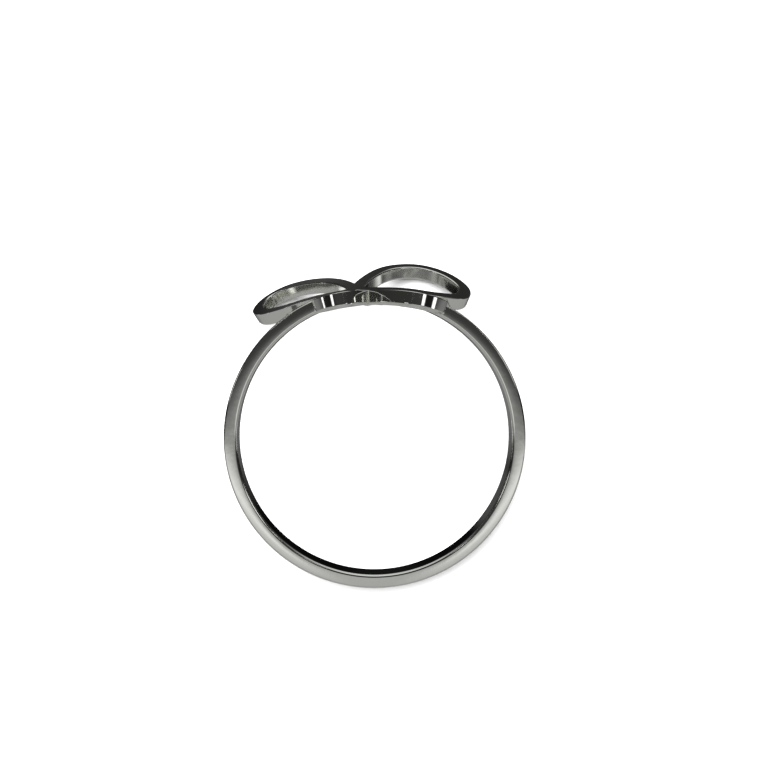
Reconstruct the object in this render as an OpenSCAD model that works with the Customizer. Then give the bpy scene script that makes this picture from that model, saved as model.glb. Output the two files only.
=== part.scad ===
// Butterfly ring: a thin plain band whose top carries an openwork butterfly, cast and soldered as one piece.
// Drawn first as it is worn: finger axis along Y, front face of the band at Y = 0, butterfly on top.
// The ring is then laid on its side, resting on its rear wings and on the rear edge of the band.

/* [Finger hole] */
// Inside diameter of the band, a US size 7
finger_d = 17.3; // [16.9:0.1:17.7]

/* [Band] */
// Width of the band along the finger
band_w = 1.9; // [1.7:0.1:2.3]
// Thickness of the band from bore to outside
band_t = 0.86; // [0.8:0.01:1]
// Radius of the rounded edges at the finger hole
inner_round = 0.19; // [0.1:0.01:0.3]
// Radius of the rounded edges at the outside
outer_round = 0.13; // [0.1:0.01:0.3]

/* [Rear wings] */
// Thickness of the rear wings
rear_t = 0.84; // [0.75:0.01:1]
// Radius that the rear wings are bent to, at the body
rear_bend = 14.5; // [13:0.5:16]
// Rise of the rear wings towards the rear, in degrees
rear_rise = 18; // [15:1:21]
// Turn of the rear wings' bend away from the finger axis, seen from above
rear_turn = -10; // [-12:1:-8]
// Sideways place of the rear wings' bend
rear_x = -0.73; // [-0.9:0.01:-0.5]
// Width of metal left around the openings of the rear wings
rear_rim = 0.8; // [0.6:0.05:0.9]

/* [Front wings] */
// Thickness of the front wings
front_t = 0.9; // [0.8:0.01:1]
// Radius that the front wings are bent to
front_bend = 13.2; // [12:0.1:14.5]
// Sideways place of the front wings' bend
front_x = 0.14; // [0:0.01:0.3]
// Width of metal left around the openings of the front wings
front_rim = 0.7; // [0.6:0.05:0.8]
// Lean of the front wings' walls from foot to top edge, towards the rear, in degrees
front_lean = 10; // [8:1:11]

/* [Body] */
// Height of the front wings' upper side above the finger axis, at the middle of their bend
front_top = 9.29; // [9.25:0.01:9.35]
// Height of the rear wings' upper side above the finger axis, at the middle of their bend
rear_top = 9.33; // [9.3:0.01:9.45]
// Sideways place of the butterfly's body on the ring
body_x = -1.1; // [-1.2:0.1:-1]

/* [Hidden] */
$fn = 96;

bore_r = finger_d / 2;
band_r = bore_r + band_t;

// Place along the finger where the rear wings' upper side has the height rear_top
meet_y = 0.27;
// How far in front of the band and outside the bore the underside of the butterfly is cut clear
relief_y = 0.02;
relief_r = 0.05;
// Depth by which the filed top of the band stays under the upper side of the rear wings
sink = 0.03;
// Half the length of the stretch where the top of the band is filed down to the wings
seat = 4;
// Straight pieces between two points of an outline
steps = 4;
// Reach of the wing sheets along the finger before they are cut to outline
reach = 10;
// Heights above a bend's centre between which the outlines are cut through
cut_low = 9;
cut_high = 20;

// Outlines of the wings seen from above, as closed smooth loops through a few points.
// Columns: distance to the right of the body, distance behind the band's front face.
rear_right = [
    [-0.35, 1.0], [0.42, 3.5], [1.8, 5.65], [3.85, 6.45], [5.8, 5.6],
    [7.0, 3.75], [6.8, 1.7], [5.25, 0.5], [3.0, 0.2], [0.7, 0.1]
];
rear_left = [
    [0.15, 0.8], [-0.85, 3.4], [-2.65, 5.55], [-4.6, 6.9], [-6.15, 6.55],
    [-6.85, 4.5], [-6.4, 2.0], [-5.0, 0.55], [-3.1, 0.1], [-1.0, 0.0]
];
front_right = [
    [-0.1, 0.5], [0.65, -0.3], [1.45, -1.4], [2.6, -2.5], [3.75, -2.95],
    [4.85, -2.35], [5.65, -0.95], [5.0, 0.2], [3.0, 0.65]
];
front_left = [
    [0.95, 0.5], [0.65, -0.3], [0.15, -1.5], [-0.45, -2.5], [-1.15, -2.8],
    [-2.05, -2.4], [-2.9, -1.1], [-2.4, 0.0], [-0.8, 0.4]
];

// Resting pose, front face up: turns about X and Y, then the shift that centres the ring on the floor
rest_x = -76.2;
rest_y = 5.9;
rest_shift = [0.09, -1.66];
// Angle between the finger axis and upright, and the lift that puts the band's rear edge on the floor
lean = acos(-sin(rest_x) * cos(rest_y));
rest_lift = (band_w - outer_round) * cos(lean) + (band_r - outer_round) * sin(lean) + outer_round;

// Point of the smooth curve from p[i] to p[i + 1], for t from 0 to 1
function curve_point(p, i, t) =
    let (n = len(p), a = p[(i + n - 1) % n], b = p[i], c = p[(i + 1) % n], d = p[(i + 2) % n])
    (2 * b + (c - a) * t + (2 * a - 5 * b + 4 * c - d) * t * t + (3 * b - a - 3 * c + d) * t * t * t) / 2;

// Closed smooth loop through the points p
function smooth_loop(p) = [for (i = [0 : len(p) - 1], k = [0 : steps - 1]) curve_point(p, i, k / steps)];

// Total of the numbers in v, from number i on
function sum(v, i = 0) = i == len(v) ? 0 : v[i] + sum(v, i + 1);

// 1 for a loop that runs anticlockwise, -1 for a clockwise one
function sense(p) = sign(sum([for (i = [0 : len(p) - 1]) cross(p[i], p[(i + 1) % len(p)])]));

// Loop moved inwards by w, less the points that would leave a narrower rim
function inset_loop(p, w) =
    let (n = len(p), s = sense(p))
    [for (i = [0 : n - 1])
        let (
            d = p[(i + 1) % n] - p[(i + n - 1) % n],
            q = p[i] + w * s / norm(d) * [-d[1], d[0]]
        )
        if (min([for (o = p) norm(q - o)]) > 0.995 * w) q];

// Point of an outline seen in a bend's own directions, across and along it
function in_bend(q, x, turn) =
    let (a = q[0] + body_x - x, b = q[1])
    [a * cos(turn) + b * sin(turn), b * cos(turn) - a * sin(turn)];

// Where the wall through that point of the upper side meets a plane at height h above the bend's centre
function on_plane(q, x, turn, r, slope, v0, lean, h) =
    let (p = in_bend(q, x, turn), a = p[0] / r * 180 / PI)
    [h * tan(a), p[1] + lean * ((r + slope * (p[1] - v0)) * cos(a) - h)];

// Wings in plan, cut through with walls that move forwards by lean for each unit of height
module through(tables, rim, x, turn, r, slope, v0, lean) {
    module area(loop)
        polygon([for (q = loop) on_plane(q, x, turn, r, slope, v0, lean, cut_low)]);
    multmatrix([[1, 0, 0, 0], [0, 1, -lean, 0], [0, 0, 1, cut_low], [0, 0, 0, 1]])
        linear_extrude(height = cut_high - cut_low, scale = [cut_high / cut_low, 1], slices = 1, segments = 1)
            difference() {
                for (table = tables)
                    area(smooth_loop(table));
                for (table = tables)
                    area(inset_loop(smooth_loop(table), rim));
            }
}

// Bent sheet of thickness t. Its top radius is r at the place v0 along the bend and grows by slope
module sheet(r, t, slope, v0) {
    low = r - slope * (reach + v0);
    high = r + slope * (reach - v0);
    drop = t * norm([1, slope]);
    rotate([-90, 0, 0])
        rotate_extrude()
            polygon([[low - drop, -reach], [low, -reach], [high, reach], [high - drop, reach]]);
}

// Room above the filed top of the band, just under the upper side of the rear wings
module above_rear() {
    slope = tan(rear_rise);
    low = rear_bend - sink - slope * (reach + meet_y);
    high = rear_bend - sink + slope * (reach - meet_y);
    translate([rear_x, 0, rear_top - rear_bend])
        rotate(rear_turn)
            rotate([-90, 0, 0])
                rotate_extrude()
                    polygon([[low, -reach], [cut_high, -reach], [cut_high, reach], [high, reach]]);
}

module wings(tables, rim, x, turn, top, r, t, slope, v0, lean) {
    translate([x, 0, top - r])
        rotate(turn)
            intersection() {
                through(tables, rim, x, turn, r, slope, v0, lean);
                sheet(r, t, slope, v0);
            }
}

// The rear wings' walls are square to their upper side
module rear_wings() {
    k = tan(rear_rise);
    wings([rear_right, rear_left], rear_rim, rear_x, rear_turn, rear_top, rear_bend, rear_t, k, meet_y, k);
}

module front_wings() {
    lean = -tan(front_lean);
    wings([front_right, front_left], front_rim, front_x, 0, front_top, front_bend, front_t, 0, 0, lean);
}

module band_profile() {
    translate([bore_r + inner_round, 0])
        square([band_t - inner_round - outer_round, band_w]);
    translate([bore_r, inner_round])
        square([inner_round, band_w - 2 * inner_round]);
    translate([band_r - outer_round, outer_round])
        square([outer_round, band_w - 2 * outer_round]);
    for (y = [inner_round, band_w - inner_round])
        translate([bore_r + inner_round, y])
            circle(r = inner_round);
    for (y = [outer_round, band_w - outer_round])
        translate([band_r - outer_round, y])
            circle(r = outer_round);
}

module band() {
    difference() {
        rotate([-90, 0, 0])
            rotate_extrude()
                band_profile();
        intersection() {
            above_rear();
            translate([-seat, -1, 0])
                cube([2 * seat, band_w + 2, 2 * band_r]);
        }
    }
}

module butterfly() {
    difference() {
        union() {
            rear_wings();
            front_wings();
        }
        translate([0, -relief_y, 0])
            rotate([-90, 0, 0])
                cylinder(r = bore_r + relief_r, h = reach);
    }
}

module butterfly_ring() {
    color([0.78, 0.78, 0.77])
        translate([rest_shift[0], rest_shift[1], rest_lift])
            rotate([rest_x, rest_y, 0]) {
                band();
                butterfly();
            }
}

butterfly_ring();
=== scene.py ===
"""Butterfly ring in polished silver, lying on its side on a pale floor."""

import math

import bpy
import numpy as np
from mathutils import Matrix, Vector
from mathutils.geometry import delaunay_2d_cdt


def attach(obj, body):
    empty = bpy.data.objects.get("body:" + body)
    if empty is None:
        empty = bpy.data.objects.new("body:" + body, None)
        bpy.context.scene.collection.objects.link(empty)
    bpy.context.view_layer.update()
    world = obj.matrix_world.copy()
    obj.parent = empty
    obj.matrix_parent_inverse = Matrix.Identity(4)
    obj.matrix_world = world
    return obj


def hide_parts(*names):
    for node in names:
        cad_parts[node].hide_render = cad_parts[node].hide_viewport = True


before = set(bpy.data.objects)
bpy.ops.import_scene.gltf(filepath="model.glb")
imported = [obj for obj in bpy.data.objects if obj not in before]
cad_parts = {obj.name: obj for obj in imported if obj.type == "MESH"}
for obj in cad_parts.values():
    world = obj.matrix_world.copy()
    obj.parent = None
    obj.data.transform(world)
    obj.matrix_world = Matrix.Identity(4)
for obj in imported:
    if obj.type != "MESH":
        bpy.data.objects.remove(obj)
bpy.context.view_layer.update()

# Sizes in millimetres and angles in degrees, the same as the CAD's. The ring is drawn as it is worn, with the
# finger axis along Y, the front face of the band at Y = 0 and the butterfly on top.
# Band: radius inside and outside, width, and radii of its rounded edges inside and outside
BORE_R, BAND_R, BAND_W = 8.65, 9.51, 1.9
INNER_ROUND, OUTER_ROUND = 0.19, 0.13
# Sideways place of the butterfly's body
BODY_X = -1.1
# How far in front of the band and outside the bore the underside of the butterfly is cut clear
RELIEF_Y, RELIEF_R = 0.02, 0.05
# The top of the band is filed down to stay this far under the rear wings' upper side, over twice SEAT
SINK, SEAT = 0.03, 4.0
# Wing sheets. Their bend: sideways place x, turn seen from above, height top and radius r of the upper side
# at the place v0 along it, and slope, its growth for each mm. Then the thickness t, the lean of the walls for
# each mm of height, and the rim round an opening. Only here: the radii of the upper edges, outside (edge) and
# in the openings (hole), and of the lower edges (round)
REAR_SLOPE, FRONT_LEAN = math.tan(math.radians(18)), -math.tan(math.radians(10))
REAR = {"x": -0.73, "turn": -10.0, "top": 9.33, "r": 14.5, "v0": 0.27, "slope": REAR_SLOPE,
        "t": 0.84, "lean": REAR_SLOPE, "rim": 0.8, "edge": 0.04, "hole": 0.11, "round": 0.12}
FRONT = {"x": 0.14, "turn": 0.0, "top": 9.29, "r": 13.2, "v0": 0.0, "slope": 0.0,
         "t": 0.9, "lean": FRONT_LEAN, "rim": 0.7, "edge": 0.05, "hole": 0.05, "round": 0.18}

# Outlines of the wings seen from above, as closed smooth loops through a few points.
# Columns: distance to the right of the body, distance behind the band's front face
REAR_RIGHT = [(-0.35, 1.0), (0.42, 3.5), (1.8, 5.65), (3.85, 6.45), (5.8, 5.6),
              (7.0, 3.75), (6.8, 1.7), (5.25, 0.5), (3.0, 0.2), (0.7, 0.1)]
REAR_LEFT = [(0.15, 0.8), (-0.85, 3.4), (-2.65, 5.55), (-4.6, 6.9), (-6.15, 6.55),
             (-6.85, 4.5), (-6.4, 2.0), (-5.0, 0.55), (-3.1, 0.1), (-1.0, 0.0)]
FRONT_RIGHT = [(-0.1, 0.5), (0.65, -0.3), (1.45, -1.4), (2.6, -2.5), (3.75, -2.95),
               (4.85, -2.35), (5.65, -0.95), (5.0, 0.2), (3.0, 0.65)]
FRONT_LEFT = [(0.95, 0.5), (0.65, -0.3), (0.15, -1.5), (-0.45, -2.5), (-1.15, -2.8),
              (-2.05, -2.4), (-2.9, -1.1), (-2.4, 0.0), (-0.8, 0.4)]

# Tilt of the band's softly domed side faces at their edges
DOME = 3.0
# The CAD's mesh cuts the outermost microns of its round off, so the hoop stays this much inside
INSIDE_CAD = 0.005
# Fineness of the hoop: sections around it, and points in each arc of a section
AROUND, ARC_POINTS = 720, 9
# Fineness of the wings: pieces between two points of an outline, points in an upper and a lower edge, and
# the grid of points between the outlines with the share of it that stays free beside them
OUTLINE_STEPS, UPPER_POINTS, LOWER_POINTS = 20, 4, 7
GRID, FREE_SHARE = 0.25, 0.45
# Shortest side of an outline
SHORTEST = 0.004
# Corners of an outline that turn by more than this stay sharp, and the least divisor of a corner's mitre
SHARP_TURN, MITRE_LIMIT = 28, 0.35
# Openings: pieces between two points of the outline that they are moved in from, share of the way in that a
# kept point has to have, radius that sharp ends get, turn in radians from which an end counts as sharp, turn
# between two points of its round, and shortest side
OPENING_STEPS, KEPT_SHARE, END_ROUND = 100, 0.9995, 0.15
END_TURN, END_STEP, OPENING_SHORTEST = 0.3, 0.15, 0.02
# Stands in for a zero that something is divided by, and distances up to which two points count as one, in a
# section or where outlines are joined, and where sides are filled
TINY, SAME_PLACE, SAME_POINT = 1e-12, 1e-6, 1e-7


def turn_about(axis, degrees):
    """Matrix of a turn about a main axis."""
    c, s = math.cos(math.radians(degrees)), math.sin(math.radians(degrees))
    rows = {"x": [[1, 0, 0], [0, c, -s], [0, s, c]], "y": [[c, 0, s], [0, 1, 0], [-s, 0, c]],
            "z": [[c, -s, 0], [s, c, 0], [0, 0, 1]]}
    return np.array(rows[axis], float)


# From the ring as worn to the ring lying on its side: the turns, the angle between finger axis and upright,
# the lift that puts the band's rear edge on the floor, and the shift that centres the ring
REST = turn_about("y", 5.9) @ turn_about("x", -76.2)
LEAN = math.acos(REST[2] @ [0, -1, 0])
LIFT = (BAND_W - OUTER_ROUND) * math.cos(LEAN) + (BAND_R - OUTER_ROUND) * math.sin(LEAN) + OUTER_ROUND
SHIFT = np.array([0.09, -1.66, LIFT])


def laid(points):
    """Points of the worn ring, in mm, to metres in the frame."""
    return (np.asarray(points, float) @ REST.T + SHIFT) * 0.001


def unit(v):
    """Vectors brought to length 1."""
    return v / np.linalg.norm(v, axis=-1, keepdims=True)


def smooth_loop(table, steps):
    """Closed smooth loop through the points of a table."""
    p = np.array(table, float)
    a, b, c, d = np.roll(p, 1, 0), p, np.roll(p, -1, 0), np.roll(p, -2, 0)
    t = (np.arange(steps) / steps)[None, :, None]
    a, b, c, d = a[:, None], b[:, None], c[:, None], d[:, None]
    curve = (2 * b + (c - a) * t + (2 * a - 5 * b + 4 * c - d) * t ** 2 + (3 * b - a - 3 * c + d) * t ** 3) / 2
    return curve.reshape(-1, 2)


def sense(p):
    """1 for a loop that runs anticlockwise, -1 for a clockwise one."""
    q = np.roll(p, -1, 0)
    return np.sign(np.sum(p[:, 0] * q[:, 1] - p[:, 1] * q[:, 0]))


def opening_loop(table, rim):
    """Outline of an opening that leaves a rim of this width all round, with its sharp ends rounded."""
    p = smooth_loop(table, OPENING_STEPS)
    d = unit(np.roll(p, -1, 0) - np.roll(p, 1, 0))
    inward = sense(p) * np.stack([-d[:, 1], d[:, 0]], 1)
    # Centres of the rounds, for every point of the outline that leaves the whole rim free
    core = p + (rim + END_ROUND) * inward
    gap = np.array([np.linalg.norm(p - c, axis=1).min() for c in core])
    kept = np.nonzero(gap > KEPT_SHARE * (rim + END_ROUND))[0]
    loop = []
    for i, k in zip(kept, np.roll(kept, -1)):
        loop.append(core[i] - END_ROUND * inward[i])
        a = math.atan2(*(-inward[i])[::-1])
        b = a + (math.atan2(*(-inward[k])[::-1]) - a + math.pi) % (2 * math.pi) - math.pi
        if abs(b - a) > END_TURN:
            middle = (core[i] + core[k]) / 2
            for t in np.linspace(0, 1, 2 + int(abs(b - a) / END_STEP))[1:-1]:
                f = a + (b - a) * t
                loop.append(middle + END_ROUND * np.array([math.cos(f), math.sin(f)]))
    thin = [loop[0]]
    for q in loop[1:]:
        if min(np.linalg.norm(q - thin[-1]), np.linalg.norm(q - loop[0])) > OPENING_SHORTEST:
            thin.append(q)
    return np.array(thin)


def crossings(a, b):
    """Where loop a crosses loop b: (place along a, place along b, point)."""
    found = []
    a2, b2 = np.roll(a, -1, 0), np.roll(b, -1, 0)
    for i in range(len(a)):
        r, s, o = a2[i] - a[i], b2 - b, b - a[i]
        den = r[0] * s[:, 1] - r[1] * s[:, 0]
        den = np.where(np.abs(den) < TINY, TINY, den)
        t = (o[:, 0] * s[:, 1] - o[:, 1] * s[:, 0]) / den
        u = (o[:, 0] * r[1] - o[:, 1] * r[0]) / den
        for j in np.nonzero((t >= 0) & (t < 1) & (u >= 0) & (u < 1))[0]:
            found.append((i + t[j], j + u[j], a[i] + t[j] * r))
    return found


def inside(points, loops):
    """True where a point is inside an odd number of loops."""
    odd = np.zeros(len(points), bool)
    for p in loops:
        q = np.roll(p, -1, 0)
        x, y = points[:, 0][:, None], points[:, 1][:, None]
        spans = (p[:, 1] > y) != (q[:, 1] > y)
        dy = np.where(q[:, 1] == p[:, 1], TINY, q[:, 1] - p[:, 1])
        to_right = x < p[:, 0] + (y - p[:, 1]) / dy * (q[:, 0] - p[:, 0])
        odd ^= (np.sum(spans & to_right, axis=1) % 2).astype(bool)
    return odd


def joined(a, b):
    """Outline of two overlapping loops together. They must cross at two points."""
    a, b = (p if sense(p) > 0 else p[::-1] for p in (a, b))
    found = sorted(crossings(a, b), key=lambda c: c[0])
    if len(found) != 2:
        raise ValueError(f"outlines cross {len(found)} times, not twice")
    out = []
    for mine, other, key in ((a, b, 0), (b, a, 1)):
        one, two = sorted(found, key=lambda c: c[key])
        n = len(mine)
        arcs = []
        for s, e in ((one, two), (two, one)):
            first, last = int(math.floor(s[key])) + 1, int(math.floor(e[key]))
            if last < first - 1 or (s is two):
                last += n
            arcs.append((s, [mine[k % n] for k in range(first, last + 1)], e))
        for s, arc, e in arcs:
            if len(arc) and not inside(np.array([arc[len(arc) // 2]]), [other])[0]:
                out.append((s[2], arc, e[2]))
    (s0, arc0, e0), (s1, arc1, e1) = out
    if np.linalg.norm(e0 - s1) > SAME_PLACE:
        raise ValueError("outline pieces don't follow each other")
    loop = np.array([s0] + arc0 + [e0] + arc1)
    step = np.linalg.norm(np.roll(loop, -1, 0) - loop, axis=1)
    return loop[step > SHORTEST]


def in_bend(loop, w):
    """Outline seen in a bend's own directions, across and along it."""
    a, b, t = loop[:, 0] + BODY_X - w["x"], loop[:, 1], math.radians(w["turn"])
    return np.stack([a * math.cos(t) + b * math.sin(t), b * math.cos(t) - a * math.sin(t)], 1)


def surface(uv, w):
    """Points of the bent upper side, its normals, and the way up its walls, in the bend's own directions."""
    k = w["slope"]
    a, r = uv[:, 0] / w["r"], w["r"] + k * (uv[:, 1] - w["v0"])
    point = np.stack([r * np.sin(a), uv[:, 1], r * np.cos(a)], 1)
    normal = unit(np.stack([np.sin(a), np.full(len(a), -k), np.cos(a)], 1))
    wall = np.stack([np.sin(a), -w["lean"] * np.cos(a), np.cos(a)], 1)
    wall *= (math.hypot(1, k) / (1 + k * w["lean"] * np.cos(a)))[:, None]
    return point, normal, wall


def unroll(point, w):
    """Points laid flat, across and along the bend."""
    return np.stack([np.arctan2(point[:, 0], point[:, 2]) * w["r"], point[:, 1]], 1)


def edge_section(upper, lower, t):
    """Section of a cut edge, from its radii above and below and the sheet's thickness.

    A row for each point: outwards and upwards from the sharp top corner, and the same for its normal."""
    rows = []
    for i in range(UPPER_POINTS):
        f = math.radians(90 * i / (UPPER_POINTS - 1))
        rows.append((upper * (math.sin(f) - 1), upper * (math.cos(f) - 1), math.sin(f), math.cos(f)))
    for i in range(LOWER_POINTS):
        f = math.radians(90 * i / (LOWER_POINTS - 1))
        rows.append((lower * (math.cos(f) - 1), -(t - lower) - lower * math.sin(f), math.cos(f), -math.sin(f)))
    return rows


def cut_edge(plan, w, radius, base):
    """Wall along an outline, from the upper side to the lower, with its point numbers from base on.

    Gives its points, its faces and the normals at their corners."""
    rows = edge_section(radius, w["round"], w["t"])
    top, normal, wall = surface(in_bend(plan, w), w)
    step = np.roll(top, -1, 0) - top
    ahead, behind = unit(step), unit(np.roll(step, 1, 0))
    # A sharp corner keeps a normal for each of its sides, and the rest of the wall is smooth
    sharp = np.sum(ahead * behind, 1) < math.cos(math.radians(SHARP_TURN))
    mean = unit(np.roll(top, -1, 0) - np.roll(top, 1, 0))
    ahead = np.where(sharp[:, None], ahead, mean)
    behind = np.where(sharp[:, None], behind, mean)
    out_a, out_b = unit(np.cross(ahead, wall)), unit(np.cross(behind, wall))
    mitre = (out_a + out_b) / np.maximum(1 + np.sum(out_a * out_b, 1), MITRE_LIMIT)[:, None]
    points = np.vstack([top + mitre * off + wall * up for off, up, _, _ in rows])
    faces, corner_normals = [], []
    m = len(top)
    for j, ((_, _, w0, n0), (_, _, w1, n1)) in enumerate(zip(rows, rows[1:])):
        here, below = base + j * m, base + (j + 1) * m
        for i in range(m):
            k = (i + 1) % m
            faces.append((here + i, below + i, below + k, here + k))
            corner_normals += [out_a[i] * w0 + normal[i] * n0, out_a[i] * w1 + normal[i] * n1,
                               out_b[k] * w1 + normal[k] * n1, out_b[k] * w0 + normal[k] * n0]
    return points, faces, corner_normals


def side_face(loops, numbers, base, w, lower):
    """Upper or lower side between loops of points with these numbers. New points are numbered from base on.

    Gives the new points, the faces and the normals at their corners."""
    flat = [unroll(p, w) for p in loops]
    rim, known = np.vstack(flat), np.concatenate(numbers)
    lo, hi = rim.min(0), rim.max(0)
    gx, gy = np.meshgrid(np.arange(lo[0], hi[0], GRID), np.arange(lo[1], hi[1], GRID))
    net = np.stack([gx.ravel(), gy.ravel()], 1)
    net = net[inside(net, flat)]
    gap = np.min(np.linalg.norm(net[:, None] - rim[None, ::2], axis=2), axis=1)
    coords = np.vstack([rim, net[gap > FREE_SHARE * GRID]])
    edges, at = [], 0
    for p in flat:
        edges += [(at + k, at + (k + 1) % len(p)) for k in range(len(p))]
        at += len(p)
    places, _, tris, origins, _, _ = delaunay_2d_cdt([Vector(c) for c in coords], edges, [], 0, SAME_POINT)
    places = np.array([tuple(v) for v in places])
    drop = w["t"] * math.hypot(1, w["slope"]) if lower else 0.0
    new, where = [], []
    for v, origin in zip(places, origins):
        if origin and origin[0] < len(rim):
            where.append(known[origin[0]])
        else:
            a, r = v[0] / w["r"], w["r"] + w["slope"] * (v[1] - w["v0"]) - drop
            where.append(base + len(new))
            new.append((r * math.sin(a), v[1], r * math.cos(a)))
    tris = np.array([t for t in tris], int)
    normal = surface(places, w)[1]
    faces, corner_normals = [], []
    for t in tris[inside(places[tris].mean(1), flat)]:
        area = np.cross(places[t[1]] - places[t[0]], places[t[2]] - places[t[0]])
        t = t if (area > 0) != lower else t[::-1]
        faces.append(tuple(int(where[k]) for k in t))
        corner_normals += [normal[k] * (-1 if lower else 1) for k in t]
    return new, faces, corner_normals


def plate(name, tables, w):
    """A pair of wings: bent sheet with openings, cut walls and rounded edges."""
    outlines = [smooth_loop(t, OUTLINE_STEPS) for t in tables]
    openings = [opening_loop(t, w["rim"]) for t in tables]
    loops = [joined(*outlines)] + [p[::-1] if sense(p) > 0 else p for p in openings]
    points, faces, corner_normals = np.empty((0, 3)), [], []
    # Numbers of each loop's points on the upper and on the lower side, and of faces up to the end of its wall
    rims, walls = [], []
    for which, plan in enumerate(loops):
        base = len(points)
        new, more, normals = cut_edge(plan, w, w["hole" if which else "edge"], base)
        points = np.vstack([points, new])
        faces += more
        corner_normals += normals
        upper = np.arange(base, base + len(plan))
        rims.append((upper, upper + len(new) - len(plan)))
        walls.append(len(faces))
    for lower in (False, True):
        numbers = [r[lower] for r in rims]
        new, more, normals = side_face([points[k] for k in numbers], numbers, len(points), w, lower)
        points = np.vstack([points, new])
        faces += more
        corner_normals += normals
    spin = turn_about("z", w["turn"])
    points = points @ spin.T + [w["x"], 0, w["top"] - w["r"]]
    corner_normals = np.array(corner_normals) @ spin.T
    # Behind the band's front face, nothing hangs into the bore
    rad = np.hypot(points[:, 0], points[:, 2])
    clear = BORE_R + RELIEF_R
    low = (points[:, 1] > -RELIEF_Y) & (rad < clear)
    points[low] *= np.stack([clear / rad[low], np.ones(low.sum()), clear / rad[low]], 1)
    piece = solid(name, points, faces, corner_normals)
    # The walls of the openings have the second finish
    finish = [int(walls[0] <= i < walls[-1]) for i in range(len(faces))]
    piece.data.polygons.foreach_set("material_index", finish)
    return piece


def solid(name, points, faces, corner_normals):
    """Mesh object from points of the worn ring, faces, and a normal for each face's corners."""
    mesh = bpy.data.meshes.new(name)
    mesh.from_pydata([tuple(p) for p in laid(points)], [], faces)
    mesh.polygons.foreach_set("use_smooth", [True] * len(faces))
    mesh.normals_split_custom_set([tuple(v) for v in unit(np.asarray(corner_normals) @ REST.T)])
    mesh.update()
    piece = bpy.data.objects.new(name, mesh)
    bpy.context.scene.collection.objects.link(piece)
    return piece


def band(name):
    """The hoop, with rounded edges and domed side faces, its top filed down under the butterfly."""
    k = math.radians(DOME)
    outside = BAND_R - INSIDE_CAD
    near = BORE_R + INNER_ROUND * (1 - math.sin(k))
    far = outside - OUTER_ROUND * (1 - math.sin(k))
    r = (far - near) / 2 / math.sin(k)
    drop = r * (1 - math.cos(k))
    # Arcs of the section: centre's distance from the finger axis and place along it, radius, first angle,
    # angle turned through
    arcs = ((BORE_R + INNER_ROUND, INNER_ROUND + drop, INNER_ROUND, 180, 90 - DOME),
            ((near + far) / 2, r, r, 270 - DOME, 2 * DOME),
            (outside - OUTER_ROUND, OUTER_ROUND + drop, OUTER_ROUND, 270 + DOME, 90 - DOME),
            (outside - OUTER_ROUND, BAND_W - OUTER_ROUND - drop, OUTER_ROUND, 0, 90 - DOME),
            ((near + far) / 2, BAND_W - r, r, 90 - DOME, 2 * DOME),
            (BORE_R + INNER_ROUND, BAND_W - INNER_ROUND - drop, INNER_ROUND, 90 + DOME, 90 - DOME))
    profile = []
    for cr, cy, radius, first, turned in arcs:
        for i in range(ARC_POINTS):
            f = math.radians(first + turned * i / (ARC_POINTS - 1))
            profile.append((cr + radius * math.cos(f), cy + radius * math.sin(f), math.cos(f), math.sin(f)))
    profile = np.array(profile)
    side = np.linalg.norm(profile[:, :2] - np.roll(profile[:, :2], 1, 0), axis=1)
    profile = profile[side > SAME_PLACE]
    m = len(profile)
    a = np.linspace(0, 2 * math.pi, AROUND, endpoint=False)
    ca, sa = np.cos(a)[:, None], np.sin(a)[:, None]
    points = np.stack([ca * profile[:, 0], 0 * ca + profile[:, 1], sa * profile[:, 0]], 2).reshape(-1, 3)
    normal = np.stack([ca * profile[:, 2], 0 * ca + profile[:, 3], sa * profile[:, 2]], 2).reshape(-1, 3)
    # The seat under the rear wings
    spin = turn_about("z", REAR["turn"])
    origin = np.array([REAR["x"], 0, REAR["top"] - REAR["r"]])
    local = (points - origin) @ spin
    rad = np.hypot(local[:, 0], local[:, 2])
    limit = REAR["r"] - SINK + REAR["slope"] * (local[:, 1] - REAR["v0"])
    cut = (rad > limit) & (points[:, 2] > 0) & (np.abs(points[:, 0]) < SEAT)
    local[cut] *= np.stack([limit[cut] / rad[cut], np.ones(cut.sum()), limit[cut] / rad[cut]], 1)
    points = local @ spin.T + origin
    top = unit(np.stack([local[:, 0], -REAR["slope"] * rad, local[:, 2]], 1)) @ spin.T
    normal[cut] = top[cut]
    faces, corner_normals = [], []
    for i in range(AROUND):
        i2 = (i + 1) % AROUND
        for j in range(m):
            j2 = (j + 1) % m
            q = (i * m + j, i * m + j2, i2 * m + j2, i2 * m + j)
            faces.append(q)
            corner_normals += [normal[k] for k in q]
    return solid(name, points, faces, corner_normals)


# Silver's own colour
SILVER = (0.90, 0.908, 0.858, 1)
# Least and greatest roughness: a mirror polish, and a softer one inside the wings' openings, where a buff
# hardly reaches
MIRROR, BUFFED = (0.035, 0.085), (0.11, 0.17)
# Noise that the roughness follows: scale, detail and the range of values that is used
POLISH_NOISE, POLISH_RANGE = (700, 4), (0.35, 0.75)
# Fine marks in one direction, over a soft unevenness: noise scale, detail and stretch, strength and depth in m
MARKS = (9000, 2, (1, 0.15, 1)), 0.05, 0.00001
UNEVEN = (1200, 2, (1, 1, 1)), 0.1, 0.00002


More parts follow.
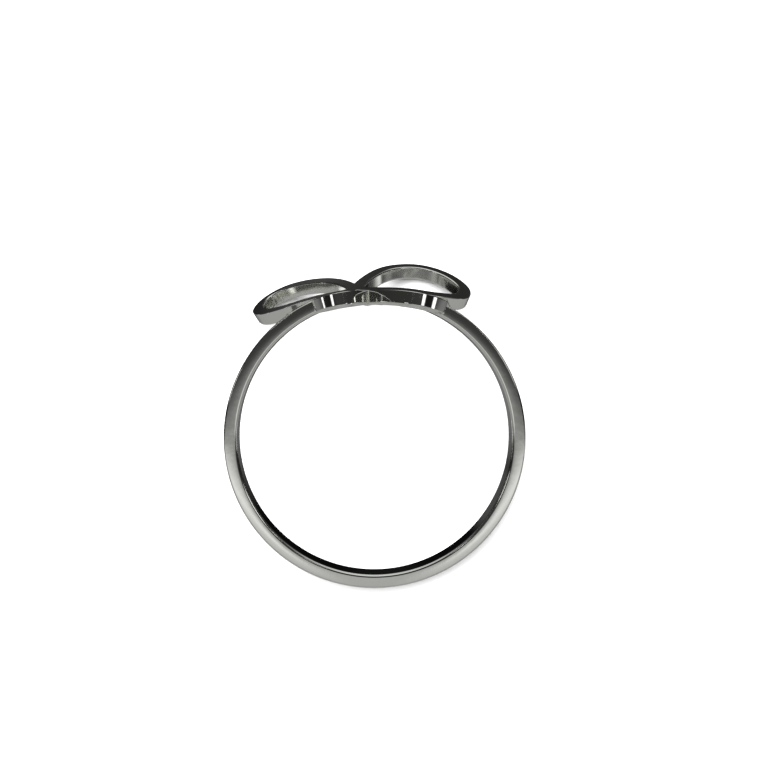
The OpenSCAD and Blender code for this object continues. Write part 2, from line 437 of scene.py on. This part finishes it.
def silver(name, roughness):
    """Polished silver with faint polishing marks and a barely uneven surface."""
    mat = bpy.data.materials.new(name)
    mat.use_nodes = True
    nodes, links = mat.node_tree.nodes, mat.node_tree.links
    shader = nodes["Principled BSDF"]
    shader.inputs["Base Color"].default_value = SILVER
    shader.inputs["Metallic"].default_value = 1.0
    place = nodes.new("ShaderNodeTexCoord").outputs["Object"]

    def noise(scale, detail, stretch=(1, 1, 1)):
        mapping = nodes.new("ShaderNodeMapping")
        mapping.inputs["Scale"].default_value = stretch
        links.new(place, mapping.inputs["Vector"])
        node = nodes.new("ShaderNodeTexNoise")
        links.new(mapping.outputs["Vector"], node.inputs["Vector"])
        node.inputs["Scale"].default_value = scale
        node.inputs["Detail"].default_value = detail
        return node.outputs["Fac"]

    # Roughness varies with the polishing
    rough = nodes.new("ShaderNodeMapRange")
    links.new(noise(*POLISH_NOISE), rough.inputs["Value"])
    rough.inputs["From Min"].default_value, rough.inputs["From Max"].default_value = POLISH_RANGE
    rough.inputs["To Min"].default_value, rough.inputs["To Max"].default_value = roughness
    links.new(rough.outputs["Result"], shader.inputs["Roughness"])

    def bump(pattern, strength, depth):
        node = nodes.new("ShaderNodeBump")
        node.inputs["Strength"].default_value = strength
        node.inputs["Distance"].default_value = depth
        links.new(noise(*pattern), node.inputs["Height"])
        return node

    marks, uneven = bump(*MARKS), bump(*UNEVEN)
    links.new(uneven.outputs["Normal"], marks.inputs["Normal"])
    links.new(marks.outputs["Normal"], shader.inputs["Normal"])
    return mat


polished = silver("silver", MIRROR)
buffed = silver("silver_inside", BUFFED)
pieces = [band("band"), plate("rear_wings", (REAR_RIGHT, REAR_LEFT), REAR),
          plate("front_wings", (FRONT_RIGHT, FRONT_LEFT), FRONT)]
for piece in pieces:
    piece.data.materials.append(polished)
    piece.data.materials.append(buffed)
    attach(piece, "root")
    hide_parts("butterfly_ring")

# Floor: a plain pale square, with half its width in metres
FLOOR_HALF = 0.6
corners = [(x * FLOOR_HALF, y * FLOOR_HALF, 0) for x, y in ((-1, -1), (1, -1), (1, 1), (-1, 1))]
floor_mesh = bpy.data.meshes.new("floor")
floor_mesh.from_pydata(corners, [], [(0, 1, 2, 3)])
floor = bpy.data.objects.new("floor", floor_mesh)
bpy.context.scene.collection.objects.link(floor)
paper = bpy.data.materials.new("paper")
paper.use_nodes = True
paper.node_tree.nodes["Principled BSDF"].inputs["Base Color"].default_value = (0.9, 0.9, 0.9, 1)
paper.node_tree.nodes["Principled BSDF"].inputs["Roughness"].default_value = 0.9
floor_mesh.materials.append(paper)
floor.visible_glossy = False

# Camera, at the photo's place beside the ring as worn: its eye in mm, and how far it looks down and to the
# right, in degrees
EYE, PITCH, PAN = (-1.48, -66.67, 6.94), 3.0, 1.74
pitch, pan = math.radians(PITCH), math.radians(PAN)
ahead = np.array([math.sin(pan) * math.cos(pitch), math.cos(pan) * math.cos(pitch), -math.sin(pitch)])
right = unit(np.cross(ahead, [0, 0, 1.0]))
up = np.cross(right, ahead)
axes = np.stack([right, up, -ahead], 1)
camera_data = bpy.data.cameras.new("camera")
camera_data.lens = 50
camera_data.sensor_width = 36
camera_data.clip_start = 0.001
camera_data.clip_end = 10
camera = bpy.data.objects.new("camera", camera_data)
bpy.context.scene.collection.objects.link(camera)
pose = Matrix([list(row) for row in REST @ axes]).to_4x4()
pose.translation = Vector(laid([EYE])[0])
camera.matrix_world = pose
bpy.context.scene.camera = camera

# Overhead soft light for the floor, which the metal doesn't reflect
lamp_data = bpy.data.lights.new("overhead", "AREA")
lamp_data.size = 0.5
lamp_data.energy = 6.2
lamp = bpy.data.objects.new("overhead", lamp_data)
lamp.location = (-0.05, 0.15, 0.4)
bpy.context.scene.collection.objects.link(lamp)
lamp.visible_glossy = False
lamp.visible_camera = False


# Studio around the ring as worn. A direction is its azimuth in degrees, 0 towards the camera and positive
# to the camera's right, and its rise, the sine of its height. Brightness by rise, straight in front of the
# ring, round that, beside the ring and behind it. The first two share their upper part.
# Columns: rise, brightness
FRONT_UPPER = [(-0.10, 0.26), (-0.06, 0.13), (-0.02, 0.065), (0.02, 0.043), (0.1, 0.04), (0.3, 0.042),
               (0.6, 0.03), (0.74, 0.2), (0.85, 0.75), (1, 0.75)]
CENTRE_LIGHT = [(-1, 0.36), (-0.5, 0.36), (-0.35, 0.40), (-0.15, 0.41), (-0.13, 0.39)] + FRONT_UPPER
FRONT_LIGHT = [(-1, 0.36), (-0.5, 0.36), (-0.38, 0.39), (-0.28, 0.48), (-0.22, 0.57), (-0.17, 0.8),
               (-0.13, 0.56)] + FRONT_UPPER
SIDE_LIGHT = [(-1, 0.36), (-0.5, 0.34), (-0.28, 0.32), (-0.2, 0.25), (-0.13, 0.17), (-0.1, 0.08),
              (-0.06, 0.015), (0.1, 0.01), (0.2, 0.025), (0.3, 0.03), (0.6, 0.03), (0.74, 0.2),
              (0.85, 0.6), (1, 0.75)]
REAR_LIGHT = [(-1, 0.36), (-0.28, 0.32), (-0.2, 0.25), (-0.12, 0.15), (-0.06, 0.04), (0, 0.003),
              (0.2, 0.003), (0.3, 0.02), (0.38, 0.045), (0.45, 0.06), (0.52, 0.035), (0.57, 0.022),
              (0.65, 0.03), (0.75, 0.2), (0.9, 0.75), (1, 0.75)]
# Azimuth of the middle of the light straight in front, and the angles from it over which it turns into that
# round it. Then azimuths, to both sides, over which the front's light turns into the side's, and that into
# the rear's
MIDDLE, CENTRE_TO_FRONT = 1.2, (0.8, 4.5)
FRONT_TO_SIDE, SIDE_TO_REAR = (20, 55), (115, 150)
# Soft boxes. Columns: azimuth, half width in degrees, lowest rise, highest rise, softness of the edges as a
# share of the half width and half height, brightness
SOFT_BOXES = [(-52, 5.5, 0.11, 0.30, 0.25, 1.5),
              (-98, 1.7, -0.16, 0.05, 0.3, 1.5),
              (43, 7.5, 0.15, 0.37, 0.3, 1.5),
              (90.5, 6.5, -0.22, -0.02, 0.25, 1.5),
              (-31, 5, 0.45, 0.52, 0.25, 1.5),
              (48, 4, 0.46, 0.54, 0.25, 1.5),
              (19, 4, 0.435, 0.48, 0.25, 1.0),
              (19, 2.5, 0.35, 0.385, 0.25, 0.9),
              (129, 3.2, -0.10, -0.01, 0.7, 0.8),
              (136, 7, -0.07, 0.03, 0.5, 0.065),
              (-139, 8, -0.20, -0.08, 0.25, 1.0),
              (-160, 11, -0.05, 0.08, 0.6, 0.08)]
# Dark card behind the ring, in the same columns, with the share of light that passes at the end
DARK_CARD = (152, 13, -0.64, -0.50, 0.25, 0.35)
# Black flag below the camera, a narrow arc around an axis: the axis, its distance along it and half width,
# azimuths of its ends, softness of its edges, and the share of light that passes
FLAG_AXIS, FLAG_AT, FLAG_HALF = (0.08, -0.386, 0.919), -0.2, 0.032
FLAG_ENDS, FLAG_SOFT, FLAG_PASSES = (-60, 100), 0.2, 0.2


def studio():
    """World light that the polished metal reflects: pale below, dark above, with a few soft boxes."""
    world = bpy.data.worlds.new("studio")
    bpy.context.scene.world = world
    world.use_nodes = True
    nodes, links = world.node_tree.nodes, world.node_tree.links
    background = nodes["Background"]
    direction = nodes.new("ShaderNodeTexCoord").outputs["Generated"]

    def along(axis):
        """How far the direction goes along an axis of the worn ring."""
        dot = nodes.new("ShaderNodeVectorMath")
        dot.operation = "DOT_PRODUCT"
        links.new(direction, dot.inputs[0])
        dot.inputs[1].default_value = tuple(REST @ axis)
        return dot.outputs["Value"]

    def maths(operation, *values):
        node = nodes.new("ShaderNodeMath")
        node.operation = operation
        for socket, value in zip(node.inputs, values):
            if isinstance(value, (int, float)):
                socket.default_value = value
            else:
                links.new(value, socket)
        return node.outputs[0]

    def by_rise(stops):
        """Brightness from a table, with the rise from -1 to 1 along a colour ramp from 0 to 1."""
        node = nodes.new("ShaderNodeValToRGB")
        links.new(maths("DIVIDE", maths("SUBTRACT", rise, -1), 2), node.inputs["Fac"])
        elements = node.color_ramp.elements
        elements.remove(elements[1])
        for i, (at, level) in enumerate(stops):
            element = elements[0] if i == 0 else elements.new(1.0)
            element.position = (at + 1) / 2
            element.color = (level, level, level, 1)
        return node.outputs["Color"]

    def blend(share, a, b):
        node = nodes.new("ShaderNodeMix")
        node.data_type = "FLOAT"
        for name, value in zip(("Factor", "A", "B"), (share, a, b)):
            links.new(value, node.inputs[name])
        return node.outputs["Result"]

    def step(value, start, end):
        """0 at start, 1 at end, with a soft change between."""
        node = nodes.new("ShaderNodeMapRange")
        node.interpolation_type = "SMOOTHSTEP"
        links.new(value, node.inputs["Value"])
        node.inputs["From Min"].default_value = start
        node.inputs["From Max"].default_value = end
        return node.outputs["Result"]

    def off(value, low, high):
        """Distance from the middle between low and high, as a share of the way to either."""
        distance = maths("ABSOLUTE", maths("SUBTRACT", value, (low + high) / 2))
        return maths("DIVIDE", distance, (high - low) / 2)

    def panel(centre, half, low, high, soft):
        """1 inside a panel, 0 outside."""
        across = off(azimuth, centre - half, centre + half)
        return step(maths("MAXIMUM", across, off(rise, low, high)), 1 + soft, 1 - soft)

    def shaded(light, share, passes):
        """Light behind something dark that covers this share of the direction."""
        return maths("MULTIPLY", light, maths("SUBTRACT", 1.0, maths("MULTIPLY", share, 1 - passes)))

    rise = along((0, 0, 1))
    azimuth = maths("MULTIPLY", maths("ARCTAN2", along((1, 0, 0)), along((0, -1, 0))), 180 / math.pi)
    aside = maths("ABSOLUTE", azimuth)
    centre, front, side, rear = (by_rise(t) for t in (CENTRE_LIGHT, FRONT_LIGHT, SIDE_LIGHT, REAR_LIGHT))
    off_middle = maths("ABSOLUTE", maths("SUBTRACT", azimuth, MIDDLE))
    light = blend(step(off_middle, *CENTRE_TO_FRONT), centre, front)
    light = blend(step(aside, *FRONT_TO_SIDE), light, side)
    light = blend(step(aside, *SIDE_TO_REAR), light, rear)
    for *place, level in SOFT_BOXES:
        light = maths("MAXIMUM", light, maths("MULTIPLY", panel(*place), level))
    *place, passes = DARK_CARD
    light = shaded(light, panel(*place), passes)
    across = off(along(FLAG_AXIS), FLAG_AT - FLAG_HALF, FLAG_AT + FLAG_HALF)
    flag = step(maths("MAXIMUM", across, off(azimuth, *FLAG_ENDS)), 1 + FLAG_SOFT, 1 - FLAG_SOFT)
    light = shaded(light, flag, FLAG_PASSES)
    links.new(light, background.inputs["Color"])
    background.inputs["Strength"].default_value = 1.0


studio()
bpy.context.scene.view_settings.view_transform = "Standard"
